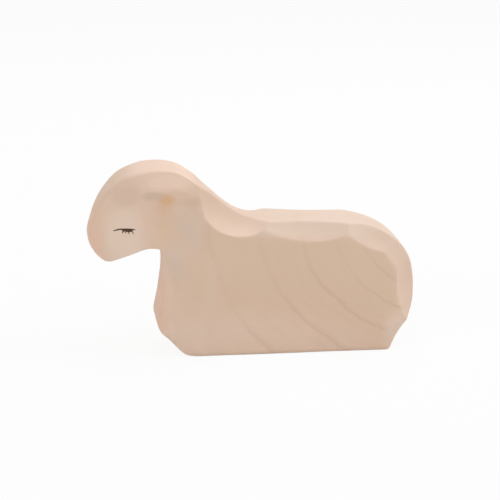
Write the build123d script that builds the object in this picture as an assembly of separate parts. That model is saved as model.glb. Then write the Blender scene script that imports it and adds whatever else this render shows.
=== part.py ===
from build123d import *
import os

# A sheep lying down, carved with knife and gouge from one board of pale wood, with a closed eye
# painted on each cheek. The muzzle points along -X and the underside rests on z = 0.

os.makedirs("parts", exist_ok=True)

# Driving sizes in millimetres
BODY_LENGTH = 87.5
MUZZLE_REACH = 22.3
HEAD_LENGTH = 49.4
BACK_HEIGHT = 45.0
CROWN_HEIGHT = 63.6
CHIN_HEIGHT = 32.9
BOARD_THICKNESS = 26.0
MUZZLE_THICKNESS = 14.6
THROAT_THICKNESS = 24.4
BASE_BEVEL = 0.9
FAR_SIDE_SHIFT = 1.2
EYE_WIDTH = 7.7
PAINT_THICKNESS = 0.12

# Sizes worked out from them
HALF_BOARD = BOARD_THICKNESS / 2
TOTAL_LENGTH = BODY_LENGTH + MUZZLE_REACH
MUZZLE_X = -TOTAL_LENGTH / 2
RUMP_X = TOTAL_LENGTH / 2
BREAST_X = MUZZLE_X + MUZZLE_REACH
NAPE_X = MUZZLE_X + HEAD_LENGTH
BACK_LENGTH = RUMP_X - NAPE_X
HEAD_HEIGHT = CROWN_HEIGHT - CHIN_HEIGHT
NAPE_RISE = CROWN_HEIGHT - BACK_HEIGHT
CUTTER_SIZE = 2 * TOTAL_LENGTH

# The jaw from the throat to the muzzle, as shares of the muzzle's reach and of the head's height
JAW_SHARES = [
    (1.08, 0.139), (0.931, 0.152), (0.657, 0.087), (0.412, 0.019), (0.268, 0.0), (0.165, 0.04),
    (0.065, 0.125),
]
# Muzzle, brow and crown, as shares of the head's length and of its height
CROWN_SHARES = [
    (0.0, 0.229), (0.014, 0.365), (0.058, 0.555), (0.127, 0.729), (0.215, 0.874), (0.334, 0.965),
    (0.473, 1.0),
]
# The nape, as shares of the head's length and of the rise from the back to the crown
NAPE_SHARES = [(0.604, 0.947), (0.72, 0.757), (0.879, 0.413), (1.0, 0.169)]
# Back and rump, as shares of the length behind the nape and of the back's height
BACK_SHARES = [
    (0.093, 1.024), (0.204, 1.011), (0.419, 1.0), (0.601, 0.987), (0.748, 0.955), (0.853, 0.885),
    (0.933, 0.79), (0.98, 0.673), (0.998, 0.55), (1.0, 0.45), (0.994, 0.35), (0.96, 0.244),
]
HEEL_SHARE = 0.858
# The breast from the base to the throat, as shares of the body's length and of the throat's height
BREAST_SHARES = [
    (0.147, 0.0), (0.11, 0.02), (0.075, 0.083), (0.038, 0.167), (0.007, 0.238), (0.0, 0.292),
    (0.009, 0.4), (0.021, 0.551), (0.032, 0.726), (0.032, 0.88),
]

# Scoops of the gouge that bevel the upper edges. Each row is the place along the run of the head
# or of the back, how far the bevel goes in across the edge, how far it drops down the side, the
# tool's sweep along the edge and its hollow across it, the last four as shares of half the board
HEAD_SCOOP_SHARES = [
    (0.31, 0.55, 0.6, 2.0, 1.9), (0.375, 0.55, 0.6, 2.3, 1.9), (0.441, 0.45, 0.4, 2.3, 1.9),
    (0.507, 0.36, 0.26, 2.3, 1.5), (0.568, 0.33, 0.24, 2.3, 1.5), (0.65, 0.22, 0.6, 1.3, 0.7),
    (0.686, 0.22, 0.6, 3.0, 0.7), (0.726, 0.22, 0.55, 3.0, 0.7), (0.765, 0.22, 0.51, 3.0, 0.7),
    (0.963, 0.7, 0.575, 1.16, 1.1),
]
BACK_SCOOP_SHARES = [
    (0.29, 0.32, 0.49, 3.6, 1.2), (0.56, 0.34, 0.53, 2.4, 1.2), (0.709, 0.3, 0.51, 4.0, 1.5),
    (0.85, 0.42, 0.53, 2.4, 1.0),
]
# Straight strokes of the knife, with the same numbers but no hollow
JAW_STROKE_SHARES = [(0.163, 0.25, 0.18, 1.54), (0.238, 0.35, 0.23, 1.08)]
HEEL_STROKE_SHARES = [(0.6, 0.22, 0.4, 0.92)]
BREAST_STROKE_SHARES = [
    (0.207, 0.15, 0.18, 1.08), (0.417, 0.23, 0.25, 1.08), (0.617, 0.22, 0.25, 1.54),
    (0.75, 0.17, 0.22, 0.5),
]
# How far a stroke or scoop runs on past the bevel, as a share of half the board
OVERRUN_SHARE = 0.12

# Grooves gouged in the side of the head: brow, neck and under the ear. Each row is the groove's
# floor at its start and at its end, as shares of the head's length, of its height and of half the
# board, and then the gouge's radius as a share of the head's height
HEAD_GROOVE_SHARES = [
    ((0.175, 0.72, 0.575), (0.32, 0.8, 0.67), 0.18),
    ((0.535, 0.471, 0.72), (0.746, 0.003, 1.06), 0.58),
    ((0.36, 0.66, 0.76), (0.7, 0.6, 0.8), 0.2),
]

# The eye: its middle on the cheek, and the painted strokes as shares of the eye's width
EYE_CENTRE_SHARE = (0.239, 0.361)
LID_UPPER_SHARES = [(-0.5, -0.055), (-0.3, 0.03), (-0.12, 0.06), (0.1, 0.07), (0.3, 0.055), (0.5, 0.0)]
LID_LOWER_SHARES = [
    (-0.5, -0.055), (-0.3, -0.012), (-0.14, 0.012), (-0.03, -0.025), (0.1, -0.04), (0.27, -0.035),
    (0.37, 0.0), (0.5, 0.0),
]
LASH_SHARES = [
    ((-0.03, -0.01), (-0.095, -0.145)), ((0.06, -0.01), (0.062, -0.155)),
    ((0.185, -0.01), (0.192, -0.187)), ((0.27, -0.01), (0.4, -0.19)),
]
LASH_ROOT_SHARE = 0.03
LASH_TIP_SHARE = 0.012


# Places on the outline
def places(shares, start, length, low, height):
    """Points at start plus a share of length, and at low plus a share of height."""
    return [Vector(start + x * length, 0, low + z * height) for x, z in shares]


jaw_points = places(JAW_SHARES, MUZZLE_X, MUZZLE_REACH, CHIN_HEIGHT, HEAD_HEIGHT)
crown_points = places(CROWN_SHARES, MUZZLE_X, HEAD_LENGTH, CHIN_HEIGHT, HEAD_HEIGHT)
nape_points = places(NAPE_SHARES, MUZZLE_X, HEAD_LENGTH, BACK_HEIGHT, NAPE_RISE)
back_points = places(BACK_SHARES, NAPE_X, BACK_LENGTH, 0, BACK_HEIGHT)
throat, nape, rump = jaw_points[0], nape_points[-1], back_points[-1]
breast_points = places(BREAST_SHARES, BREAST_X, BODY_LENGTH, 0, throat.Z) + [throat]
heel = Vector(NAPE_X + HEEL_SHARE * BACK_LENGTH, 0, 0)

top_edge = Spline(jaw_points + crown_points + nape_points + back_points)
heel_edge = Line(rump, heel)
base_edge = Line(heel, breast_points[0])
breast_edge = Spline(breast_points, tangents=[(-1, 0, 0), throat - breast_points[-2]])
head_run = top_edge.param_at_point(nape)


def head_rows(rows):
    """Rows placed along the head, placed along the whole top edge instead."""
    return [(top_edge, (row[0] * head_run, *row[1:])) for row in rows]


def back_rows(rows, shift):
    """Rows placed along the back, moved on by the shift."""
    return [(top_edge, (head_run + row[0] * (1 - head_run) + shift, *row[1:])) for row in rows]


# Cutting tools
def bevel(edge, row, side):
    """The middle of a bevel, the ways it faces and runs across the edge, and half its width."""
    along = row[0]
    inset, drop = (share * HALF_BOARD for share in row[1:3])
    point = edge.position_at(along)
    tangent = edge.tangent_at(along)
    outward = Vector(-tangent.Z, 0, tangent.X)
    sideways = Vector(0, side, 0)
    top = point + sideways * (HALF_BOARD - inset)
    low = point + sideways * HALF_BOARD - outward * drop
    facing = (outward * inset + sideways * drop).normalized()
    return (top + low) * 0.5, facing, top - low, (top - low).length / 2


def stroke(edge, row, side):
    """A round disc lying across the edge: its rim leaves a bevel that is hollow along the edge,
    and hollow across it too where the row gives a hollow."""
    middle, facing, across, half_width = bevel(edge, row, side)
    sweep = row[3] * HALF_BOARD
    half_height = half_width + OVERRUN_SHARE * HALF_BOARD
    if len(row) == 4:
        return Plane(origin=middle + facing * sweep, z_dir=across) * Cylinder(sweep, 2 * half_height)
    hollow = row[4] * HALF_BOARD
    sunk = hollow - (hollow**2 - half_width**2) ** 0.5
    rim = sweep - hollow + (hollow**2 - half_height**2) ** 0.5
    outline = [
        Line((0, 0, -half_height), (rim, 0, -half_height)),
        ThreePointArc((rim, 0, -half_height), (sweep, 0, 0), (rim, 0, half_height)),
        Line((rim, 0, half_height), (0, 0, half_height)),
        Line((0, 0, half_height), (0, 0, -half_height)),
    ]
    disc = revolve(make_face(outline), Axis.Z)
    return Plane(origin=middle + facing * (sweep - sunk), z_dir=across) * disc


def groove(row, side):
    """A round-ended groove: a cylinder with a ball at each end, whose lowest line is the floor."""
    floor = [
        Vector(MUZZLE_X + x * HEAD_LENGTH, side * y * HALF_BOARD, CHIN_HEIGHT + z * HEAD_HEIGHT)
        for x, z, y in row[:2]
    ]
    radius = row[2] * HEAD_HEIGHT
    run = (floor[1] - floor[0]).normalized()
    sideways = Vector(0, side, 0)
    outward = (sideways - run * sideways.dot(run)).normalized()
    start, end = (place + outward * radius for place in floor)
    bar = Plane(origin=(start + end) * 0.5, z_dir=run) * Cylinder(radius, (end - start).length)
    return bar + Pos(start) * Sphere(radius) + Pos(end) * Sphere(radius)


def flat_cut(place, facing):
    """Everything beyond a flat face at the place, on the side it faces."""
    block = Box(CUTTER_SIZE, CUTTER_SIZE, CUTTER_SIZE, align=(Align.CENTER, Align.CENTER, Align.MIN))
    return Plane(origin=place, z_dir=facing) * block


# The cheek is a flat face that thins the head from the throat to the muzzle
taper = (THROAT_THICKNESS - MUZZLE_THICKNESS) / 2


def cheek_facing(side):
    return Vector(-taper, side * (throat.X - MUZZLE_X), 0).normalized()


def cheek_place(x, z, side):
    away = taper * (throat.X - x) / (throat.X - MUZZLE_X)
    return Vector(x, side * (THROAT_THICKNESS / 2 - away), z)


# The carved body
def carve(body, tool):
    """The largest piece that the tool leaves. Chips that it frees fall away."""
    return max((body - tool).solids(), key=lambda solid: solid.volume)


def wooden_body():
    profile = make_face(top_edge.edges() + heel_edge.edges() + base_edge.edges() + breast_edge.edges())
    body = extrude(profile, amount=HALF_BOARD, dir=(0, 1, 0), both=True)
    for side in (-1, 1):
        shift = 0 if side < 0 else FAR_SIDE_SHIFT / top_edge.length
        rows = head_rows(JAW_STROKE_SHARES + HEAD_SCOOP_SHARES) + back_rows(BACK_SCOOP_SHARES, shift)
        rows += [(heel_edge, row) for row in HEEL_STROKE_SHARES]
        rows += [(breast_edge, row) for row in BREAST_STROKE_SHARES]
        for edge, row in rows:
            body = carve(body, stroke(edge, row, side))
        body = carve(body, flat_cut(cheek_place(throat.X, throat.Z, side), cheek_facing(side)))
        for row in HEAD_GROOVE_SHARES:
            body = carve(body, groove(row, side))
        body = carve(body, flat_cut((0, side * HALF_BOARD, BASE_BEVEL), (0, side, -1)))
    return body


# The painted eye, laid on the left cheek
eye_middle = places([EYE_CENTRE_SHARE], MUZZLE_X, HEAD_LENGTH, CHIN_HEIGHT, HEAD_HEIGHT)[0]
cheek_plane = Plane(
    origin=cheek_place(eye_middle.X, eye_middle.Z, -1),
    x_dir=Vector(throat.X - MUZZLE_X, -taper, 0),
    z_dir=cheek_facing(-1),
)


def eye_point(share):
    return (share[0] * EYE_WIDTH, share[1] * EYE_WIDTH)


def painted(outline):
    """A film of paint whose underside lies on the cheek."""
    return extrude(cheek_plane * make_face(outline), amount=PAINT_THICKNESS, dir=cheek_plane.z_dir)


def eyelid_line():
    upper = Spline([eye_point(share) for share in LID_UPPER_SHARES])
    lower = Spline([eye_point(share) for share in LID_LOWER_SHARES])
    return painted(upper.edges() + lower.edges())


def lash(root_share, tip_share):
    root = Vector(*eye_point(root_share))
    tip = Vector(*eye_point(tip_share))
    across = (tip - root).cross(Vector(0, 0, 1)).normalized() * EYE_WIDTH
    corners = [
        root + across * LASH_ROOT_SHARE, tip + across * LASH_TIP_SHARE,
        tip - across * LASH_TIP_SHARE, root - across * LASH_ROOT_SHARE,
    ]
    return painted(Polyline(*corners, close=True).edges())


def lashes(lid):
    return Compound(children=[solid for row in LASH_SHARES for solid in (lash(*row) - lid).solids()])


left_lid = eyelid_line()
left_lashes = lashes(left_lid)

export_step(wooden_body(), "parts/wooden_body.step")
export_step(left_lid, "parts/left_eyelid_line.step")
export_step(left_lashes, "parts/left_lashes.step")
export_step(mirror(left_lid, about=Plane.XZ), "parts/right_eyelid_line.step")
export_step(mirror(left_lashes, about=Plane.XZ), "parts/right_lashes.step")
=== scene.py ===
import math

import bmesh
import bpy
import numpy as np
from bpy.props import FloatProperty, FloatVectorProperty, IntProperty, PointerProperty
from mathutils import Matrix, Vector


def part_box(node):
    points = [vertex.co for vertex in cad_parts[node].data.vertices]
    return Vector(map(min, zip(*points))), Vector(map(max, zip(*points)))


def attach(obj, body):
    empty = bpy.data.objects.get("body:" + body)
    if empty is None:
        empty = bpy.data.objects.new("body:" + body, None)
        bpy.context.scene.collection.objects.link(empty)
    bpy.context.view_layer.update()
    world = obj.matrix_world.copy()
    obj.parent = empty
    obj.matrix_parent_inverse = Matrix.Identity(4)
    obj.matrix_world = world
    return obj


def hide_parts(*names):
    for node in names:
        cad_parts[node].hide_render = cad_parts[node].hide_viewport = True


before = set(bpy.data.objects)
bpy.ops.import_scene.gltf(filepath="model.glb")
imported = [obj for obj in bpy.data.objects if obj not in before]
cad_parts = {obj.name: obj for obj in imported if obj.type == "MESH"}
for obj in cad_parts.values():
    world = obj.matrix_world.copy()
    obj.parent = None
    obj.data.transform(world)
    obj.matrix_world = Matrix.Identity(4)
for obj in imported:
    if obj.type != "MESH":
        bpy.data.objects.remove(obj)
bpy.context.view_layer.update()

# A sheep lying down, carved with knife and gouge from one pale board, with a closed eye painted
# on each cheek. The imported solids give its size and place. The cuts are made again here as one
# soft surface, the eyes are brushed on, and the wood gets its growth rings.

bl_info = {
    "name": "Carved wooden sheep",
    "version": (1, 0, 0),
    "blender": (4, 5, 0),
    "location": "3D View > Sidebar > Sheep",
    "description": "Carves, paints and stages a small wooden sheep around its packed solids",
    "category": "Object",
}

BODY_LOW, BODY_HIGH = (np.array(corner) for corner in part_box("wooden_body"))

# Sizes in metres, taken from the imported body
TOTAL_LENGTH = BODY_HIGH[0] - BODY_LOW[0]
CROWN_HEIGHT = BODY_HIGH[2]
HALF_BOARD = BODY_HIGH[1]
MUZZLE_X = BODY_LOW[0]
RUMP_X = BODY_HIGH[0]
BREAST_X = MUZZLE_X + 0.2031 * TOTAL_LENGTH
MUZZLE_REACH = BREAST_X - MUZZLE_X
BODY_LENGTH = RUMP_X - BREAST_X
HEAD_LENGTH = 0.45 * TOTAL_LENGTH
NAPE_X = MUZZLE_X + HEAD_LENGTH
BACK_LENGTH = RUMP_X - NAPE_X
BACK_HEIGHT = 0.7075 * CROWN_HEIGHT
CHIN_HEIGHT = 0.5173 * CROWN_HEIGHT
HEAD_HEIGHT = CROWN_HEIGHT - CHIN_HEIGHT
NAPE_RISE = CROWN_HEIGHT - BACK_HEIGHT
HALF_MUZZLE = 0.5615 * HALF_BOARD
HALF_THROAT = 0.938 * HALF_BOARD
BASE_BEVEL = 0.07 * HALF_BOARD
FAR_SIDE_SHIFT = 0.092 * HALF_BOARD
EYE_WIDTH = 0.07 * TOTAL_LENGTH
# The hollow of a straight stroke, so large that the stroke is as good as flat across
FLAT_HOLLOW = 30 * TOTAL_LENGTH
# How far to each side of a stroke its edge's direction is taken, as a share of that part's length
RUN_STEP_SHARE = 0.004

# How many points the curves get
TOP_POINTS = 1200
BREAST_POINTS = 400
LOOP_POINTS = 2400
MIDDLE_POINTS = 600
BRUSH_POINTS = 200
# How many widths a bell-shaped running mean reaches to each side
BELL_REACH = 3

# The unevenness of hand work: the number of slow waves, their usual length and each side's seed
WAVE_COUNT = 7
WAVE_LENGTH = 0.03
WAVE_SEEDS = {-1: 11, 1: 12}

# The shares of the grid's columns that look up from the middle line, and as many look down, and
# that turn round its rear and its front end
RUN_COLUMNS_SHARE = 0.36
REAR_COLUMNS_SHARE = 0.16
FRONT_COLUMNS_SHARE = 0.12
# The rows of the first, coarse grid, and the length of surface that a turn of one radian counts for
COARSE_ROWS = 70
TURN_LENGTH = 0.0022
# The bell that evens out the rows of neighbouring columns: its width and its reach in columns
ROW_BELL = 4.0
ROW_BELL_REACH = 9
# How the end of a ray is sought: its length as a share of the way out of the board, the first of
# the even tries as a share of that, how many tries there are, and how often the last step is halved
RAY_SHARE = 1.05
FIRST_TRY_SHARE = 0.1
TRY_COUNT = 16
HALVINGS = 7
# The least that a divisor may be: of a cosine or sine, of a length and of a depth
LEAST_COSINE = 1e-6
LEAST_LENGTH = 1e-9
LEAST_DEPTH = 1e-12
# Points closer than this are the same point
MERGE_DISTANCE = 2e-7

# Outline of the jaw from the throat to the muzzle, as shares of the muzzle's reach and of the
# head's height above the chin
JAW_SHARES = [
    (1.08, 0.139), (0.931, 0.152), (0.657, 0.087), (0.412, 0.019), (0.268, 0.0), (0.165, 0.04),
    (0.065, 0.125),
]
# Muzzle, brow and crown, as shares of the head's length and of its height
CROWN_SHARES = [
    (0.0, 0.229), (0.012, 0.368), (0.052, 0.563), (0.12, 0.74), (0.209, 0.884), (0.331, 0.97),
    (0.473, 1.0),
]
# Nape, as shares of the head's length and of the rise from the back to the crown
NAPE_SHARES = [(0.604, 0.947), (0.72, 0.757), (0.879, 0.413), (1.0, 0.169)]
# Back and rump, as shares of the length behind the nape and of the back's height
BACK_SHARES = [
    (0.093, 1.024), (0.204, 1.011), (0.419, 1.0), (0.601, 0.987), (0.748, 0.955), (0.853, 0.885),
    (0.933, 0.79), (0.98, 0.673), (0.998, 0.55), (1.0, 0.45), (0.991, 0.35), (0.956, 0.244),
]
HEEL_SHARE = 0.858
# Breast from the base to the throat, as shares of the body's length and of the throat's height
BREAST_SHARES = [
    (0.147, 0.0), (0.11, 0.02), (0.074, 0.083), (0.041, 0.167), (0.011, 0.238), (0.002, 0.292),
    (0.009, 0.4), (0.021, 0.551), (0.032, 0.726), (0.032, 0.88),
]

# Scoops of the gouge that bevel the upper edges. Each row is the place along the run of the head
# or of the back, how far the bevel goes in across the edge, how far it drops down the side, the
# tool's sweep along the edge and its hollow across it, the last four as shares of half the board
HEAD_SCOOP_SHARES = [
    (0.31, 0.55, 0.6, 2.0, 1.9), (0.375, 0.55, 0.6, 2.3, 1.9), (0.441, 0.45, 0.4, 2.3, 1.9),
    (0.507, 0.36, 0.26, 2.3, 1.5), (0.568, 0.33, 0.24, 2.3, 1.5), (0.65, 0.22, 0.6, 1.3, 0.7),
    (0.686, 0.22, 0.6, 3.0, 0.7), (0.726, 0.22, 0.55, 3.0, 0.7), (0.765, 0.22, 0.51, 3.0, 0.7),
    (0.963, 0.7, 0.575, 1.16, 1.1),
]
BACK_SCOOP_SHARES = [
    (0.29, 0.32, 0.49, 3.6, 1.2), (0.56, 0.34, 0.53, 2.4, 1.2), (0.709, 0.3, 0.51, 4.0, 1.5),
    (0.85, 0.42, 0.53, 2.4, 1.0),
]
# Straight strokes of the knife, with the same numbers but no hollow
JAW_STROKE_SHARES = [(0.163, 0.25, 0.18, 1.54), (0.238, 0.35, 0.23, 1.08)]
HEEL_STROKE_SHARES = [(0.6, 0.22, 0.4, 0.92)]
BREAST_STROKE_SHARES = [
    (0.207, 0.15, 0.18, 1.08), (0.417, 0.23, 0.25, 1.08), (0.617, 0.22, 0.25, 1.54),
    (0.75, 0.17, 0.22, 0.5),
]
# How far a stroke or scoop runs on past the bevel, as a share of half the board
OVERRUN_SHARE = 0.12

# Where the upper edges are worn softer, on the left side over the brow and on the right side over
# the shoulder: places along the sheep as shares of its length, and how much softer it is at each
WORN_SHARES = {
    -1: [(0.08, 2.0), (0.3, 0.0)],
    1: [(0.44, 0.0), (0.5, 1.3), (0.56, 1.3), (0.62, 0.0)],
}
# The wear comes in between these shares of the crown's height
WORN_HEIGHT_SHARES = (0.66, 0.78)

# Grooves gouged in the side of the head: brow, neck and under the ear. Each row is the groove's
# floor at its start and at its end, as shares of the head's length, of its height and of half the
# board, and then the gouge's radius as a share of the head's height
HEAD_GROOVE_SHARES = [
    ((0.175, 0.72, 0.575), (0.32, 0.8, 0.67), 0.18),
    ((0.535, 0.471, 0.72), (0.746, 0.003, 1.06), 0.58),
    ((0.36, 0.66, 0.76), (0.7, 0.6, 0.8), 0.2),
]

# The eye on the cheek: its middle, then the brush strokes, each row of which is a place and the
# stroke's half width there, all in widths of the eye
EYE_CENTRE_SHARE = (0.239, 0.361)
LID_SHARES = [
    (-0.5, -0.058, 0.018), (-0.3, -0.002, 0.036), (-0.15, 0.026, 0.03), (-0.04, 0.002, 0.056),
    (0.1, -0.014, 0.08), (0.26, -0.014, 0.077), (0.36, 0.016, 0.032), (0.5, 0.002, 0.009),
]
LASH_SHARES = [
    [(-0.02, 0.0, 0.035), (-0.05, -0.07, 0.032), (-0.095, -0.15, 0.014)],
    [(0.06, 0.0, 0.035), (0.055, -0.07, 0.03), (0.062, -0.16, 0.012)],
    [(0.18, 0.0, 0.035), (0.187, -0.09, 0.03), (0.192, -0.19, 0.012)],
    [(0.26, 0.0, 0.035), (0.34, -0.075, 0.026), (0.4, -0.19, 0.01)],
]

# Each place of the middle line inside the board, and the places of the outline above and below
# that are seen from it, all as shares of the total length and of the crown's height
MIDDLE_SHARES = [
    (0.078, 0.657), (0.173, 0.751), (0.236, 0.72), (0.273, 0.657), (0.309, 0.563), (0.355, 0.469),
    (0.391, 0.423), (0.436, 0.391), (0.5, 0.368), (0.827, 0.344),
]
ABOVE_SHARES = [
    (0.014, 0.728), (0.105, 0.942), (0.214, 1.0), (0.3, 0.968), (0.355, 0.892), (0.418, 0.798),
    (0.464, 0.745), (0.518, 0.718), (0.591, 0.71), (0.827, 0.687),
]
BELOW_SHARES = [
    (0.073, 0.513), (0.173, 0.577), (0.222, 0.582), (0.23, 0.469), (0.225, 0.313), (0.206, 0.188),
    (0.245, 0.07), (0.323, 0.0), (0.445, 0.0), (0.845, 0.0),
]


# Lines in the plane of the board's side
def as_array(places):
    return np.array(places, dtype=float)


def board_places(shares, start, length, low, height):
    """The places at start plus a share of length and at low plus a share of height."""
    return as_array(shares) * (length, height) + (start, low)


def arc_length(line):
    """The running length along a line of points, from 0."""
    return np.concatenate([[0.0], np.cumsum(np.linalg.norm(np.diff(line, axis=0), axis=1))])


def along_line(line, share):
    """The points of a line at these shares of its length."""
    run = arc_length(line)
    at = share * run[-1]
    return np.stack([np.interp(at, run, line[:, k]) for k in range(line.shape[1])], axis=-1)


def smooth_line(points, count):
    """A natural cubic spline over the chord lengths, as count evenly timed points: each stretch is
    the two end points blended straight, plus the cubes of the distances to its ends times the
    second derivatives that make slope and curvature run on."""
    knots = arc_length(points)
    gap = np.diff(knots)
    slope = np.diff(points, axis=0) / gap[:, None]
    inner = np.arange(1, len(points) - 1)
    system = np.eye(len(points))
    system[inner, inner - 1] = gap[:-1]
    system[inner, inner] = 2 * (gap[:-1] + gap[1:])
    system[inner, inner + 1] = gap[1:]
    right = np.zeros_like(points)
    right[inner] = 6 * np.diff(slope, axis=0)
    bend = np.linalg.solve(system, right)
    at = np.linspace(0.0, knots[-1], count)
    k = np.clip(np.searchsorted(knots, at, side="right") - 1, 0, len(gap) - 1)
    behind, ahead, step = (at - knots[k])[:, None], (knots[k + 1] - at)[:, None], gap[k][:, None]
    curve = (bend[k] * ahead**3 + bend[k + 1] * behind**3) / (6 * step)
    straight = (points[k] / step - bend[k] * step / 6) * ahead
    return curve + straight + (points[k + 1] / step - bend[k + 1] * step / 6) * behind


def nearest_share(line, places):
    """How far along the line, as a share of its length, its nearest point to each place lies."""
    gaps = np.linalg.norm(line[None] - places[:, None], axis=-1)
    run = arc_length(line)
    return run[gaps.argmin(axis=1)] / run[-1]


def outline_parts():
    """The outline's four parts in order, from the throat round the head, back, heel, base and
    breast to the throat again."""
    jaw = board_places(JAW_SHARES, MUZZLE_X, MUZZLE_REACH, CHIN_HEIGHT, HEAD_HEIGHT)
    crown = board_places(CROWN_SHARES, MUZZLE_X, HEAD_LENGTH, CHIN_HEIGHT, HEAD_HEIGHT)
    nape = board_places(NAPE_SHARES, MUZZLE_X, HEAD_LENGTH, BACK_HEIGHT, NAPE_RISE)
    back = board_places(BACK_SHARES, NAPE_X, BACK_LENGTH, 0, BACK_HEIGHT)
    breast = board_places(BREAST_SHARES, BREAST_X, BODY_LENGTH, 0, jaw[0, 1])
    heel = as_array((NAPE_X + HEEL_SHARE * BACK_LENGTH, 0))
    top_edge = smooth_line(np.concatenate([jaw, crown, nape, back]), TOP_POINTS)
    heel_edge = np.stack([back[-1], heel])
    base_edge = np.stack([heel, breast[0]])
    breast_edge = smooth_line(np.concatenate([breast, jaw[:1]]), BREAST_POINTS)
    return top_edge, heel_edge, base_edge, breast_edge


def outline_loop(softness, count=LOOP_POINTS):
    """The whole outline as a closed loop of evenly spaced points, its corners rounded by a running
    mean with bell-shaped weights of that width."""
    parts = outline_parts()
    line = np.concatenate([part[:-1] for part in parts] + [parts[0][:1]])
    even = along_line(line, np.arange(count) / count)
    step = arc_length(line)[-1] / count
    reach = int(BELL_REACH * softness / step) + 1
    weight = np.exp(-0.5 * (np.arange(-reach, reach + 1) * step / softness) ** 2)
    padded = np.concatenate([even[-reach:], even, even[:reach]])
    weight /= weight.sum()
    return np.stack([np.convolve(padded[:, k], weight, "valid") for k in (0, 1)], axis=-1)


# The carving tools as numbers
def unit(vector):
    return vector / np.linalg.norm(vector)


def stroke(part, row, side):
    """A round disc lying across the edge, whose rim leaves the bevel: its middle, its axis, the
    radius of its rim, the hollow of its rim and half its height."""
    inset, drop = as_array(row[1:3]) * HALF_BOARD
    shares = row[0] + RUN_STEP_SHARE * as_array([0, -1, 1])
    (x, z), before, after = along_line(part, shares)
    run = unit(after - before)
    outward = as_array([-run[1], 0, run[0]])
    sideways = as_array([0, side, 0])
    edge = as_array([x, 0, z]) + HALF_BOARD * sideways
    top, low = edge - inset * sideways, edge - drop * outward
    facing = unit(inset * outward + drop * sideways)
    half_width = np.linalg.norm(top - low) / 2
    sweep = row[3] * HALF_BOARD
    hollow = row[4] * HALF_BOARD if len(row) > 4 else FLAT_HOLLOW
    sunk = hollow - math.sqrt(hollow**2 - half_width**2)
    middle = (top + low) / 2 + (sweep - sunk) * facing
    return middle, unit(top - low), sweep, hollow, half_width + OVERRUN_SHARE * HALF_BOARD


def groove(row, side):
    """A groove with round ends: the start and end of the tool's middle line, and its radius."""
    floor = [
        as_array([MUZZLE_X + x * HEAD_LENGTH, side * y * HALF_BOARD, CHIN_HEIGHT + z * HEAD_HEIGHT])
        for x, z, y in row[:2]
    ]
    radius = row[2] * HEAD_HEIGHT
    run = unit(floor[1] - floor[0])
    sideways = as_array([0, side, 0])
    outward = unit(sideways - (sideways @ run) * run)
    return floor[0] + radius * outward, floor[1] + radius * outward, radius


def flat_cuts(side):
    """Normals and offsets of the flat faces: the board's side, the base's bevel and the cheek."""
    taper = (HALF_THROAT - HALF_MUZZLE) / (JAW_SHARES[0][0] * MUZZLE_REACH)
    cheek = unit(as_array([-taper, side, 0]))
    bevel = unit(as_array([0, side, -1]))
    board = as_array([0, side, 0])
    normals = np.stack([board, bevel, cheek])
    places = as_array([
        [0, side * HALF_BOARD, 0],
        [0, side * HALF_BOARD, BASE_BEVEL],
        [MUZZLE_X, side * HALF_MUZZLE, CHIN_HEIGHT],
    ])
    return normals, (normals * places).sum(axis=1)


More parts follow.
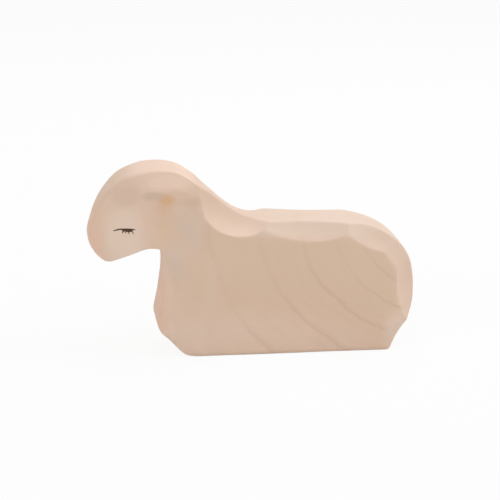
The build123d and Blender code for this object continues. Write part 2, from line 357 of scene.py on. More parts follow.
class Carving:
    """The wood left on one side of the board. Its depth is below zero inside the wood."""

    def __init__(self, side, softness, wobble):
        top, heel, _, breast = outline_parts()
        nape = board_places(NAPE_SHARES[-1:], MUZZLE_X, HEAD_LENGTH, BACK_HEIGHT, NAPE_RISE)
        head = nearest_share(top, nape)[0]
        shift = 0.0 if side < 0 else FAR_SIDE_SHIFT / arc_length(top)[-1]
        rows = [(top, (row[0] * head, *row[1:])) for row in JAW_STROKE_SHARES + HEAD_SCOOP_SHARES]
        rows += [(top, (head + row[0] * (1 - head) + shift, *row[1:])) for row in BACK_SCOOP_SHARES]
        rows += [(heel, row) for row in HEEL_STROKE_SHARES]
        rows += [(breast, row) for row in BREAST_STROKE_SHARES]
        strokes = zip(*(stroke(part, row, side) for part, row in rows))
        self.middles, self.axes, self.sweeps, self.hollows, self.halves = map(np.array, strokes)
        self.grooves = [groove(row, side) for row in HEAD_GROOVE_SHARES]
        self.normals, self.offsets = flat_cuts(side)
        self.softness = softness
        self.worn = as_array(WORN_SHARES[side]).T
        self.wobble = wobble
        chance = np.random.default_rng(WAVE_SEEDS[side])
        self.waves = chance.normal(0, 1, (WAVE_COUNT, 3)) * 2 * math.pi / WAVE_LENGTH
        self.phases = chance.uniform(0, 2 * math.pi, WAVE_COUNT)

    def depth(self, points, wall):
        """How far outside the wood the points are. Each stroke counts as its rim's hollow less the
        distance to the ring on which the hollow is centred, or the distance inside its flat ends
        where that is less. Each groove counts as its radius less the distance to its middle line,
        each flat as the height above it, and the outline as wall. They meet in a soft maximum, the
        softness times the logarithm of the sum of their exponentials, softer where it is worn,
        and a few slow sine waves add the unevenness of hand work."""
        flat = points.reshape(-1, 3)
        square = (flat * flat).sum(axis=1)[:, None]
        up = flat @ self.axes.T - (self.middles * self.axes).sum(axis=1)
        away = square - 2 * flat @ self.middles.T + (self.middles**2).sum(axis=1) - up**2
        ring = np.sqrt(np.maximum(away, 0)) - (self.sweeps - self.hollows)
        strokes = np.minimum(self.hollows - np.sqrt(ring**2 + up**2), self.halves - abs(up))
        terms = [strokes, flat @ self.normals.T - self.offsets, wall.reshape(-1, 1)]
        for start, end, radius in self.grooves:
            line = end - start
            share = np.clip((flat - start) @ line / (line @ line), 0, 1)[:, None]
            off_line = flat - start - share * line
            terms.append(radius - np.linalg.norm(off_line, axis=1, keepdims=True))
        every = np.concatenate(terms, axis=1)
        most = every.max(axis=1)
        worn = np.interp((flat[:, 0] - MUZZLE_X) / TOTAL_LENGTH, *self.worn)
        above = np.interp(flat[:, 2] / CROWN_HEIGHT, WORN_HEIGHT_SHARES, (0, 1))
        softness = self.softness * (1 + worn * above)
        near = np.exp((every - most[:, None]) / softness[:, None])
        soft = most + softness * np.log(near.sum(axis=1))
        uneven = np.sin(flat @ self.waves.T + self.phases).mean(axis=1)
        return (soft + self.wobble * uneven).reshape(points.shape[:-1])


# The grid of the carved surface
def spokes(loop, count):
    """Where each column of the grid starts inside the board, and the outline point it looks at.
    The columns go along the middle line looking up, turn round its rear end, come back along it
    looking down, and turn round its front end."""
    inside, over, under = (
        board_places(shares, MUZZLE_X, TOTAL_LENGTH, 0, CROWN_HEIGHT)
        for shares in (MIDDLE_SHARES, ABOVE_SHARES, BELOW_SHARES)
    )
    middle = smooth_line(inside, MIDDLE_POINTS)
    knots = nearest_share(middle, inside)
    above, below = nearest_share(loop, over), nearest_share(loop, under)
    below = np.where(below < above[0], below + 1, below)
    run = np.linspace(0, 1, int(RUN_COLUMNS_SHARE * count))
    up, down = np.interp(run, knots, above), np.interp(run, knots, below)
    rear = np.linspace(up[-1], down[-1], int(REAR_COLUMNS_SHARE * count) + 2)[1:-1]
    front = np.linspace(down[0], up[0] + 1, int(FRONT_COLUMNS_SHARE * count) + 2)[1:-1]
    seen = np.concatenate([up, rear, down[::-1], front]) % 1
    start = np.concatenate([run, np.ones_like(rear), run[::-1], np.zeros_like(front)])
    closed = np.concatenate([loop, loop[:1]])
    numbers = np.arange(len(closed))
    index = seen * len(loop)

    def on_loop(moved):
        return np.stack([np.interp(moved, numbers, closed[:, k]) for k in (0, 1)], axis=-1)

    target = on_loop(index)
    tangent = on_loop((index + 1) % len(loop)) - on_loop((index - 1) % len(loop))
    normal = np.stack([-tangent[:, 1], tangent[:, 0]], axis=-1)
    normal /= np.linalg.norm(normal, axis=1, keepdims=True)
    return along_line(middle, start), target, normal


def half_surface(carving, origin, target, normal, angle):
    """Points of one side of the carving. Each lies on a ray from the middle line, turned by angle
    from the outline towards that side. The first place where the depth turns positive is found
    among even steps, then halved down to, and one straight-line step ends it."""
    side = np.sign(carving.normals[0, 1])
    reach = np.linalg.norm(target - origin, axis=1)
    ray = (target - origin) / reach[:, None]
    facing = (ray * normal).sum(axis=1)
    cosine, sine = np.cos(angle), np.sin(angle)
    to_outline = reach[:, None] / np.maximum(cosine, LEAST_COSINE)
    to_side = HALF_BOARD / np.maximum(sine, LEAST_COSINE)
    most = RAY_SHARE * np.minimum(to_outline, to_side)

    def points(length):
        flat = length * cosine
        x = origin[:, None, 0] + flat * ray[:, None, 0]
        z = origin[:, None, 1] + flat * ray[:, None, 1]
        return np.stack([x, side * length * sine, z], axis=-1)

    def depth(length):
        wall = (length * cosine - reach[:, None]) * facing[:, None]
        return carving.depth(points(length), wall)

    low, high = np.zeros_like(angle), most.copy()
    found = np.zeros(angle.shape, dtype=bool)
    for share in np.linspace(FIRST_TRY_SHARE, 1.0, TRY_COUNT):
        outside = depth(share * most) > 0
        high = np.where(outside & ~found, share * most, high)
        found |= outside
        low = np.where(found, low, share * most)
    for _ in range(HALVINGS):
        middle = (low + high) / 2
        outside = depth(middle) > 0
        low, high = np.where(outside, low, middle), np.where(outside, middle, high)
    at_low, at_high = depth(low), depth(high)
    share = np.clip(at_low / np.minimum(at_low - at_high, -LEAST_DEPTH), 0, 1)
    return points(low + share * (high - low))


def spread_rows(coarse, rows):
    """Angles that put more rows where the surface turns: the coarse rows' lengths plus a share of
    their turning are summed, evened out over neighbouring columns and divided equally."""
    step = np.diff(coarse, axis=1)
    length = np.linalg.norm(step, axis=-1)
    run = step / np.maximum(length, LEAST_LENGTH)[..., None]
    turn = np.zeros_like(length)
    turn[:, 1:] = np.linalg.norm(np.diff(run, axis=1), axis=-1)
    weight = length + TURN_LENGTH * turn
    total = np.concatenate([np.zeros((len(weight), 1)), np.cumsum(weight, axis=1)], axis=1)
    total /= total[:, -1:]
    reach = np.arange(-ROW_BELL_REACH, ROW_BELL_REACH + 1)
    bell = np.exp(-0.5 * (reach / ROW_BELL) ** 2)
    even = sum(w * np.roll(total, k, axis=0) for k, w in zip(reach, bell / bell.sum()))
    coarse_angle = np.linspace(math.pi / 2, 0, coarse.shape[1])
    angle = np.stack([np.interp(np.linspace(0, 1, rows), line, coarse_angle) for line in even])
    angle[:, 0], angle[:, -1] = math.pi / 2, 0
    return angle


def carved_grid(settings):
    """All points of the carved body: columns round the outline, rows from the left side's middle
    line over the edge to the right side's middle line."""
    loop = outline_loop(settings.corner_softness)
    origin, target, normal = spokes(loop, settings.columns)
    sides = []
    for side in (-1, 1):
        carving = Carving(side, settings.edge_softness, settings.hand_wobble)
        first = np.tile(np.linspace(math.pi / 2, 0, COARSE_ROWS), (len(origin), 1))
        angle = spread_rows(half_surface(carving, origin, target, normal, first), settings.rows)
        sides.append(half_surface(carving, origin, target, normal, angle))
    left, right = sides
    points = np.concatenate([left, right[:, -2::-1]], axis=1)
    points[..., 2] = np.maximum(points[..., 2], BODY_LOW[2])
    return points


# Meshes
def grid_faces(columns, rows, closed_columns=True, closed_rows=False):
    """Each cell's four corner numbers, in a grid whose points are numbered column by column."""
    column = np.arange(columns if closed_columns else columns - 1)[:, None]
    row = np.arange(rows if closed_rows else rows - 1)[None, :]
    here, there, after = column * rows, (column + 1) % columns * rows, (row + 1) % rows
    return np.stack([here + row, here + after, there + after, there + row], axis=-1).reshape(-1, 4)


def new_piece(name, points, faces, material, node):
    """A mesh object with its doubled points merged and its faces turned outwards, riding on the
    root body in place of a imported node."""
    mesh = bpy.data.meshes.new(name)
    mesh.from_pydata(points, [], faces)
    work = bmesh.new()
    work.from_mesh(mesh)
    bmesh.ops.remove_doubles(work, verts=work.verts, dist=MERGE_DISTANCE)
    bmesh.ops.recalc_face_normals(work, faces=work.faces)
    for face in work.faces:
        face.smooth = True
    work.to_mesh(mesh)
    work.free()
    mesh.materials.append(material)
    piece = bpy.data.objects.new(name, mesh)
    bpy.context.scene.collection.objects.link(piece)
    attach(piece, "root")
    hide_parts(node)
    return piece


# Shader values
class Value:
    """A shader value. Python's operators on it add Math nodes."""

    def __init__(self, finish, socket):
        self.finish = finish
        self.socket = socket

    def __add__(self, other):
        return self.finish.math("ADD", self, other)

    def __sub__(self, other):
        return self.finish.math("SUBTRACT", self, other)

    def __rsub__(self, other):
        return self.finish.math("SUBTRACT", other, self)

    def __mul__(self, other):
        return self.finish.math("MULTIPLY", self, other)

    def __truediv__(self, other):
        return self.finish.math("DIVIDE", self, other)

    def __pow__(self, other):
        return self.finish.math("POWER", self, other)

    __radd__, __rmul__ = __add__, __mul__


def set_stops(elements, stops):
    """Gives a ramp these places and levels of grey."""
    for element in elements[1:]:
        elements.remove(element)
    for k, (at, level) in enumerate(stops):
        element = elements[0] if k == 0 else elements.new(at)
        element.position = at
        element.color = (level, level, level, 1)


class Finish:
    """The nodes of a material or a world, and the output node that takes its shader."""

    def __init__(self, owner, output="ShaderNodeOutputMaterial"):
        owner.use_nodes = True
        self.owner = owner
        self.tree = owner.node_tree
        self.tree.nodes.clear()
        self.output = self.tree.nodes.new(output)

    def add(self, kind, settings=None, inputs=None, output=0):
        """A node of that kind: its settings first, then the values or links of its sockets."""
        node = self.tree.nodes.new(kind)
        for name, setting in (settings or {}).items():
            if name == "stops":
                set_stops(node.color_ramp.elements, setting)
            else:
                setattr(node, name, setting)
        for name, value in (inputs or {}).items():
            if isinstance(value, Value):
                self.tree.links.new(value.socket, node.inputs[name])
            else:
                node.inputs[name].default_value = value
        return Value(self, node.outputs[output])

    def math(self, operation, *values):
        return self.add("ShaderNodeMath", {"operation": operation}, dict(enumerate(values)))

    def parts(self, vector):
        """The three numbers of a vector."""
        split = self.add("ShaderNodeSeparateXYZ", inputs={0: vector})
        return [Value(self, socket) for socket in split.socket.node.outputs]

    def noise(self, vector, scale, detail=2.0, roughness=0.5):
        return self.add(
            "ShaderNodeTexNoise", {"noise_dimensions": "3D"},
            {"Vector": vector, "Scale": scale, "Detail": detail, "Roughness": roughness},
        )

    def stretched(self, vector, scale):
        return self.add("ShaderNodeMapping", inputs={"Vector": vector, "Scale": scale})

    def rise(self, value, start, end):
        """0 where the value is at start or before, 1 at end or beyond, and smooth between."""
        return self.add(
            "ShaderNodeMapRange", {"interpolation_type": "SMOOTHSTEP"},
            {"Value": value, "From Min": start, "From Max": end},
        )

    def fade(self, value, row, size=1.0):
        """The row's third number where the value is at its first or before, and 1 where it is at
        its second or beyond. The first two are in shares of the size."""
        start, end, least = row
        return self.rise(value, start * size, end * size) * (1 - least) + least

    def ramp(self, value, stops):
        return self.add("ShaderNodeValToRGB", {"stops": stops}, {0: value})

    def blend(self, share, first, second):
        """The first colour where share is 0 and the second where it is 1."""
        return self.add(
            "ShaderNodeMix", {"data_type": "RGBA"}, {0: share, 6: first, 7: second}, output=2
        )

    def close(self, shader):
        self.tree.links.new(shader.socket, self.output.inputs["Surface"])
        return self.owner

    def surface(self, tone, roughness, height, bump, shine):
        """The finished material, with that colour, roughness and shine. The height makes a bump of
        that strength and distance."""
        strength, distance = bump
        normal = self.add(
            "ShaderNodeBump", inputs={"Strength": strength, "Distance": distance, "Height": height}
        )
        return self.close(self.add("ShaderNodeBsdfPrincipled", inputs={
            "Base Color": tone, "Roughness": roughness, "Normal": normal,
            "Specular IOR Level": shine,
        }))


def colour(values):
    return (*values, 1.0)


# Soft patches of tone through the board, as seen from the side. Each row is the middle and the two
# radii as shares of the total length and of the crown's height, and the strength of the patch
# Painted highlight: the cheek is made paler where light falls on it
CHEEK_HIGHLIGHT_PATCHES = [(0.11, 0.65, 0.075, 0.18, 0.9), (0.11, 0.56, 0.05, 0.07, 0.6)]
# Painted highlight: paler wood where light falls on the heel, the bevels along the back and the
# flank low down
CUT_HIGHLIGHT_PATCHES = [
    (0.94, 0.12, 0.05, 0.1, 0.9), (0.7, 0.68, 0.25, 0.06, 0.7), (0.5, 0.06, 0.42, 0.17, 0.5),
]
# Painted highlight along the ear's lip and the top of the crown
EAR_HIGHLIGHT_PATCHES = [(0.25, 0.94, 0.09, 0.07, 0.9), (0.2, 1.0, 0.1, 0.05, 0.6)]
# Painted shade on the neck below the ear
NECK_SHADE_PATCHES = [(0.3, 0.7, 0.06, 0.16, 0.8), (0.26, 0.54, 0.05, 0.16, 0.75)]
# Painted shade in the hollows over the eye and under the ear
HOLLOW_SHADE_PATCHES = [
    (0.115, 0.86, 0.05, 0.06, 0.5), (0.195, 0.862, 0.045, 0.03, 0.9), (0.3, 0.83, 0.05, 0.03, 0.5),
]
BAND_PATCHES = [(0.364, 0.3, 0.02, 0.25, 0.55)]
OCHRE_PATCHES = [
    (0.238, 0.84, 0.038, 0.045, 1.0), (0.23, 0.805, 0.035, 0.06, 0.45),
    (0.23, 0.7, 0.05, 0.14, 0.2),
]
# Warmer wood along the front of the muzzle and breast, darkened with painted shade
FRONT_WARMTH_AND_SHADE_PATCHES = [(0.0, 0.6, 0.05, 0.3, 0.8), (0.2, 0.35, 0.04, 0.28, 0.9)]
# Painted shade over the middle and rear of the board's flat side
FLANK_SHADE_PATCHES = [(0.6, 0.56, 0.42, 0.42, 1.0), (0.82, 0.4, 0.22, 0.38, 1.0)]
# A patch is full within the first of these shares of its radius and gone past the second, and the
# wandering noise moves its edge by this much
PATCH_FULL_SHARE = 0.45
PATCH_END_SHARE = 1.25
PATCH_WANDER = 1.2

# Noise through the wood, as cells in a metre: the wandering and rippling of lines, clouds of tone,
# drifts of clearer rings, the knife's ripples, and fibres and flecks drawn out along the board
WANDER_SCALE = 60.0
RIPPLE_SCALE = 330.0
CLOUD_SCALE = 34.0
DRIFT_SCALE = 38.0
KNIFE_SCALE = 260.0
FIBRE_SCALES = (90.0, 2600.0, 2600.0)
FLECK_SCALES = (220.0, 2400.0, 2400.0)
# The level that noise has on average
NOISE_MIDDLE = 0.5

# How far the noise moves the growth rings, in metres, and how much they lean across the board
RING_WANDER = 0.0024
RING_RIPPLE = 0.0012
RING_LEAN = 0.05
# Rings counted inside the first one, so that no ring's number is below zero
INNER_RINGS = 40.0
# How dark the wood is on the way from one ring to the next: a thin line with a soft side. Then
# the same for fainter lines, of which there are a few to a ring
RING_LINE_STOPS = [(0.0, 1.0), (0.035, 0.35), (0.075, 0.0), (0.87, 0.0), (0.955, 0.35), (1.0, 1.0)]
FAINT_LINE_STOPS = [(0.0, 1.0), (0.3, 0.0), (0.8, 0.1), (1.0, 1.0)]
FAINT_LINES_PER_RING = 3.0
FAINT_WANDER = 2.0
# Where the rings are weak, where they are clear and how much is left where they are weak: in the
# drifts, along the sheep as shares of its length, at the head, and up it as shares of its height
DRIFT_FADE = (0.36, 0.6, 0.4)
FLANK_FADE = (-0.16, 0.16, 0.6)
HEAD_FADE = (-0.3, -0.2, 0.0)
BACK_FADE = (0.68, 0.55, 0.4)
# The board's flat side starts and is whole at these shares of half its thickness. Rings on the
# cuts keep this share
FLAT_SIDE_SHARES = (0.955, 0.985)
CUT_RING_SHARE = 0.25

CLOUD_STOPS = [(0.35, 0.0), (0.65, 1.0)]
FLECK_STOPS = [(0.0, 0.0), (0.66, 0.0), (0.74, 1.0)]
# How strongly faint lines, fibres and flecks darken the wood, and the level where a fibre shows
FAINT_STRENGTH = 0.04
FIBRE_STRENGTH = 0.12
FLECK_STRENGTH = 0.05
FIBRE_LEVEL = 0.35
# The wood's roughness, and what fibres and ring lines add to it
WOOD_ROUGHNESS = 0.56
FIBRE_ADDS = 0.16
LINE_ADDS = 0.05
# What fibres, flecks, ring lines and the knife's ripples add to the height of the bump
FIBRE_HEIGHT = 0.5
FLECK_HEIGHT = -0.25
LINE_HEIGHT = -0.2
KNIFE_HEIGHT = 0.8
# The bump's strength and its distance in metres, and how strongly the bare wood shines
WOOD_BUMP = (0.28, 0.00012)
WOOD_SHINE = 0.35

# Paint: its streaks along the brush as cells in a metre, and how thin it is across a streak. How
# far behind the eye's middle it is thickest, and how far from there it starts and ends to thin
# out, in widths of the eye. Its roughness, what the streaks add to it, its bump and its shine
STREAK_SCALES = (500.0, 900.0, 2500.0)
STREAK_STOPS = [(0.35, 0.0), (0.75, 1.0)]
THICK_SHARE = 0.12
THIN_END_SHARES = (0.2, 0.48)
PAINT_ROUGHNESS = 0.65
STREAK_ADDS = 0.3
PAINT_BUMP = (0.3, 0.00005)
PAINT_SHINE = 0.2


def patches(wood, x, z, uneven, rows):
    """How much of a tone lies at a place: the most that any of its patches gives there."""
    most = None
    for middle_x, middle_z, radius_x, radius_z, strength in rows:
        across = (x - (MUZZLE_X + middle_x * TOTAL_LENGTH)) / (radius_x * TOTAL_LENGTH)
        up = (z - middle_z * CROWN_HEIGHT) / (radius_z * CROWN_HEIGHT)
        away = (across * across + up * up) ** 0.5 + uneven
        patch = wood.rise(away, PATCH_END_SHARE, PATCH_FULL_SHARE) * strength
        most = patch if most is None else wood.math("MAXIMUM", most, patch)
    return most


def ring_number(wood, settings, place, wander):
    """How many rings out a place lies, in fractions too: the logarithm of its distance from a line
    beyond the rump, divided by a step. The distance is taken flatter along the sheep than up it,
    wanders with the noise and grows a little across the board."""
    x, y, z = wood.parts(place)
    ripple = wood.noise(place, RIPPLE_SCALE) - NOISE_MIDDLE
    along = (x - settings.ring_centre_x) * settings.ring_squash
    up = z - settings.ring_centre_z
    distance = (along * along + up * up) ** 0.5 + wander * RING_WANDER + ripple * RING_RIPPLE
    distance = distance + (y + HALF_BOARD) * RING_LEAN
    return wood.math("LOGARITHM", distance / settings.first_ring, math.e) / settings.ring_step


def ring_clarity(wood, place, flat_side):
    """How clearly the rings show: in drifts, most on the flat side and the flank's rear half, less
    towards the top of the back, and not on the head."""
    x, _, z = wood.parts(place)
    clarity = wood.fade(wood.noise(place, DRIFT_SCALE, detail=1.0), DRIFT_FADE)
    clarity = clarity * wood.fade(x, FLANK_FADE, TOTAL_LENGTH)
    clarity = clarity * wood.fade(x, HEAD_FADE, TOTAL_LENGTH)
    clarity = clarity * wood.fade(z, BACK_FADE, CROWN_HEIGHT)
    return clarity * (flat_side * (1 - CUT_RING_SHARE) + CUT_RING_SHARE)


def patched_tone(wood, settings, place, wander, flat_side):
    """The wood's colour under its marks: slow clouds of two tones, painted shade on the flat side,
    and the patches of tone, painted highlight and painted shade, each laid over those before it."""
    x, _, z = wood.parts(place)
    uneven = wander * PATCH_WANDER
    cloud = wood.ramp(wood.noise(place, CLOUD_SCALE), CLOUD_STOPS)
    tone = wood.blend(cloud, colour(settings.wood_colour), colour(settings.warm_colour))
    # Painted shade over the board's flat side
    flank = patches(wood, x, z, uneven, FLANK_SHADE_PATCHES) * flat_side
    tone = wood.blend(flank, tone, colour(settings.flank_shade_colour))
    # Painted highlight on the cheek, cuts and ear, painted shade on the neck and in the hollows,
    # warmer wood with painted shade along the front, the ochre stain and the band
    for rows, tint in (
        (CHEEK_HIGHLIGHT_PATCHES, settings.highlight_colour), (CUT_HIGHLIGHT_PATCHES, settings.highlight_colour),
        (EAR_HIGHLIGHT_PATCHES, settings.ear_highlight_colour), (NECK_SHADE_PATCHES, settings.neck_shade_colour),
        (OCHRE_PATCHES, settings.ochre_colour), (FRONT_WARMTH_AND_SHADE_PATCHES, settings.rosy_and_shade_colour),
        (BAND_PATCHES, settings.band_colour), (HOLLOW_SHADE_PATCHES, settings.hollow_shade_colour),
    ):
        tone = wood.blend(patches(wood, x, z, uneven, rows), tone, colour(tint))
    return tone


def carved_wood(settings):
    """Pale wood, made a little darker on the board's flat sides than on the cuts by painted shade,
    with thin brown growth rings, fainter lines between them, fibres and flecks along the board, and
    patches of tone, painted highlight and painted shade."""
    wood = Finish(bpy.data.materials.new("carved_wood"))
    place = wood.add("ShaderNodeTexCoord", output=3)
    wander = wood.noise(place, WANDER_SCALE) - NOISE_MIDDLE
    away = wood.math("ABSOLUTE", wood.parts(place)[1])
    flat_side = wood.rise(away, *(share * HALF_BOARD for share in FLAT_SIDE_SHARES))
    ring = ring_number(wood, settings, place, wander)
    line = wood.ramp(wood.math("FRACT", ring + INNER_RINGS), RING_LINE_STOPS)
    between = wood.math("FRACT", ring * FAINT_LINES_PER_RING + wander * FAINT_WANDER)
    faint = wood.ramp(between, FAINT_LINE_STOPS)
    clarity = ring_clarity(wood, place, flat_side)
    fibres = wood.stretched(place, FIBRE_SCALES)
    fibre = wood.noise(fibres, 1.0, detail=3.0, roughness=0.6)
    fleck = wood.ramp(wood.noise(wood.stretched(place, FLECK_SCALES), 1.0, detail=1.0), FLECK_STOPS)
    tone = patched_tone(wood, settings, place, wander, flat_side)
    for strength in (
        line * clarity * settings.ring_strength, faint * clarity * FAINT_STRENGTH,
        (fibre - FIBRE_LEVEL) * FIBRE_STRENGTH, fleck * FLECK_STRENGTH,
    ):
        tone = wood.blend(strength, tone, colour(settings.ring_colour))
    roughness = WOOD_ROUGHNESS + (fibre - NOISE_MIDDLE) * FIBRE_ADDS + line * LINE_ADDS
    knife = wood.noise(place, KNIFE_SCALE, detail=3.0)
    height = fibre * FIBRE_HEIGHT + fleck * FLECK_HEIGHT + line * LINE_HEIGHT + knife * KNIFE_HEIGHT
    return wood.surface(tone, roughness, height, WOOD_BUMP, WOOD_SHINE)


def brushed_paint(settings):
    """Thin dark brown paint, lighter in streaks along the brush and at its two ends."""
    paint = Finish(bpy.data.materials.new("brushed_paint"))
    place = paint.add("ShaderNodeTexCoord", output=3)
    streak = paint.noise(paint.stretched(place, STREAK_SCALES), 1.0, detail=3.0, roughness=0.6)
    eye_x = MUZZLE_X + EYE_CENTRE_SHARE[0] * HEAD_LENGTH
    across = (paint.parts(place)[0] - eye_x) / EYE_WIDTH - THICK_SHARE
    ends = paint.rise(paint.math("ABSOLUTE", across), *THIN_END_SHARES)
    thin = paint.math("MAXIMUM", paint.ramp(streak, STREAK_STOPS), ends)
    tone = paint.blend(thin, colour(settings.paint_colour), colour(settings.thin_paint_colour))
    roughness = PAINT_ROUGHNESS + (streak - NOISE_MIDDLE) * STREAK_ADDS
    return paint.surface(tone, roughness, streak, PAINT_BUMP, PAINT_SHINE)


WHITE = (1.0, 1.0, 1.0, 1.0)


def seen_directly(finish):
    """1 on what the camera sees, itself or in a mirror or through glass, and 0 on what only lights
    the sheep."""
    path = finish.add("ShaderNodeLightPath").socket.node.outputs
    seen = Value(finish, path["Is Camera Ray"]) + Value(finish, path["Is Glossy Ray"])
    return finish.add(
        "ShaderNodeMath", {"operation": "ADD", "use_clamp": True},
        {0: seen, 1: Value(finish, path["Is Transmission Ray"])},
    )


def pale_floor(settings):
    """A pale floor that takes the sheep's shadow, washed out with white where it is seen."""
    floor = Finish(bpy.data.materials.new("pale_floor"))
    tint = colour(settings.floor_colour)
    lit = floor.add("ShaderNodeBsdfDiffuse", inputs={"Color": tint, "Roughness": 1.0})
    glow = floor.add("ShaderNodeEmission", inputs={"Color": WHITE, "Strength": 1.0})
    share = seen_directly(floor) * settings.floor_white
    return floor.close(floor.add("ShaderNodeMixShader", inputs={0: share, 1: lit, 2: glow}))


def even_room(settings):
    """Even light from all round, which is plain white where it is seen."""
    room = Finish(bpy.data.worlds.new("room"), "ShaderNodeOutputWorld")
    strength = settings.world_strength
    even = room.add("ShaderNodeBackground", inputs={"Color": WHITE, "Strength": strength})
    white = room.add("ShaderNodeBackground", inputs={"Color": WHITE, "Strength": 1.0})
    return room.close(
        room.add("ShaderNodeMixShader", inputs={0: seen_directly(room), 1: even, 2: white})
    )


# The painted eye. A stroke has this many points round it and rings along it. Each of its ends is
# rounded off over one part of so many of its length, and its underside lies one part of so many of
# its lift below the wood's surface
RING_POINTS = 12
STROKE_RINGS = 40
ROUNDED_PARTS = 14
SUNK_PARTS = 3
# The wood's surface at the eye is sought from this share of half the board outwards, by halving
CHEEK_START_SHARE = 0.3
CHEEK_HALVINGS = 22
# A depth inside the outline that is deep enough for it not to count
FAR_INSIDE = -1.0


def brush_stroke(rows, lift):
    """A flat bead along a smooth path through the rows' places in the plane of the cheek. Round
    each point of the path goes a ring whose sideways place is the cosine times the half width, and
    whose height is the sine times the lift above the wood, or a third of that below it. Both ends
    close to a point."""
    rows = as_array(rows)
    smooth = smooth_line(rows[:, :2], BRUSH_POINTS)
    share = np.linspace(0, 1, STROKE_RINGS)
    line = along_line(smooth, share)
    half = np.interp(share, nearest_share(smooth, rows[:, :2]), rows[:, 2])
    half *= np.sqrt(np.clip(np.minimum(share, 1 - share) * ROUNDED_PARTS, 0, 1))
    run = np.gradient(line, axis=0)
    run /= np.linalg.norm(run, axis=1, keepdims=True)
    across = np.stack([-run[:, 1], run[:, 0]], axis=-1)
    turn = np.linspace(0, 2 * math.pi, RING_POINTS, endpoint=False)
    flat = line[:, None] + (half[:, None] * np.cos(turn))[..., None] * across[:, None]
    rise = np.where(np.sin(turn) > 0, np.sin(turn), np.sin(turn) / SUNK_PARTS)
    height = lift * rise * (half / half.max())[:, None]
    faces = grid_faces(STROKE_RINGS, RING_POINTS, closed_columns=False, closed_rows=True)
    return flat, height, faces


def on_cheek(settings, flat, height, side):
    """The points at these places along and up the cheek, at these heights above the wood. The
    wood's surface is found by halving along the board's thickness."""
    carving = Carving(side, settings.edge_softness, settings.hand_wobble)
    x = MUZZLE_X + EYE_CENTRE_SHARE[0] * HEAD_LENGTH + flat[..., 0] * EYE_WIDTH
    z = CHIN_HEIGHT + EYE_CENTRE_SHARE[1] * HEAD_HEIGHT + flat[..., 1] * EYE_WIDTH
    low, high = np.full(x.shape, CHEEK_START_SHARE * HALF_BOARD), np.full(x.shape, HALF_BOARD)
    wall = np.full(x.shape, FAR_INSIDE)
    for _ in range(CHEEK_HALVINGS):
        middle = (low + high) / 2
        outside = carving.depth(np.stack([x, side * middle, z], axis=-1), wall) > 0
        low, high = np.where(outside, low, middle), np.where(outside, middle, high)
    return np.stack([x, side * (low + height), z], axis=-1)


def painted_piece(eyes, body, strokes, name, node, side, paint):
    """The brush strokes laid on the cheek, as one piece."""
    points, faces, count = [], [], 0
    for rows in strokes:
        flat, height, cells = brush_stroke(rows, eyes.paint_lift)
        points.append(on_cheek(body, flat, height, side).reshape(-1, 3))
        faces.append(cells + count)
        count += len(points[-1])
    return new_piece(name, np.concatenate(points), np.concatenate(faces), paint, node)


# What a user can change
def tone_setting(name, description, default):
    return FloatVectorProperty(
        name=name, description=description, subtype="COLOR", size=3, min=0.0, max=1.0,
        default=default,
    )


def length_setting(name, description, default, least=0.0):
    return FloatProperty(
        name=name, description=description, unit="LENGTH", precision=5, min=least, default=default
    )


def power_setting(name, description, default):
    return FloatProperty(name=name, description=description, unit="POWER", min=0.0, default=default)


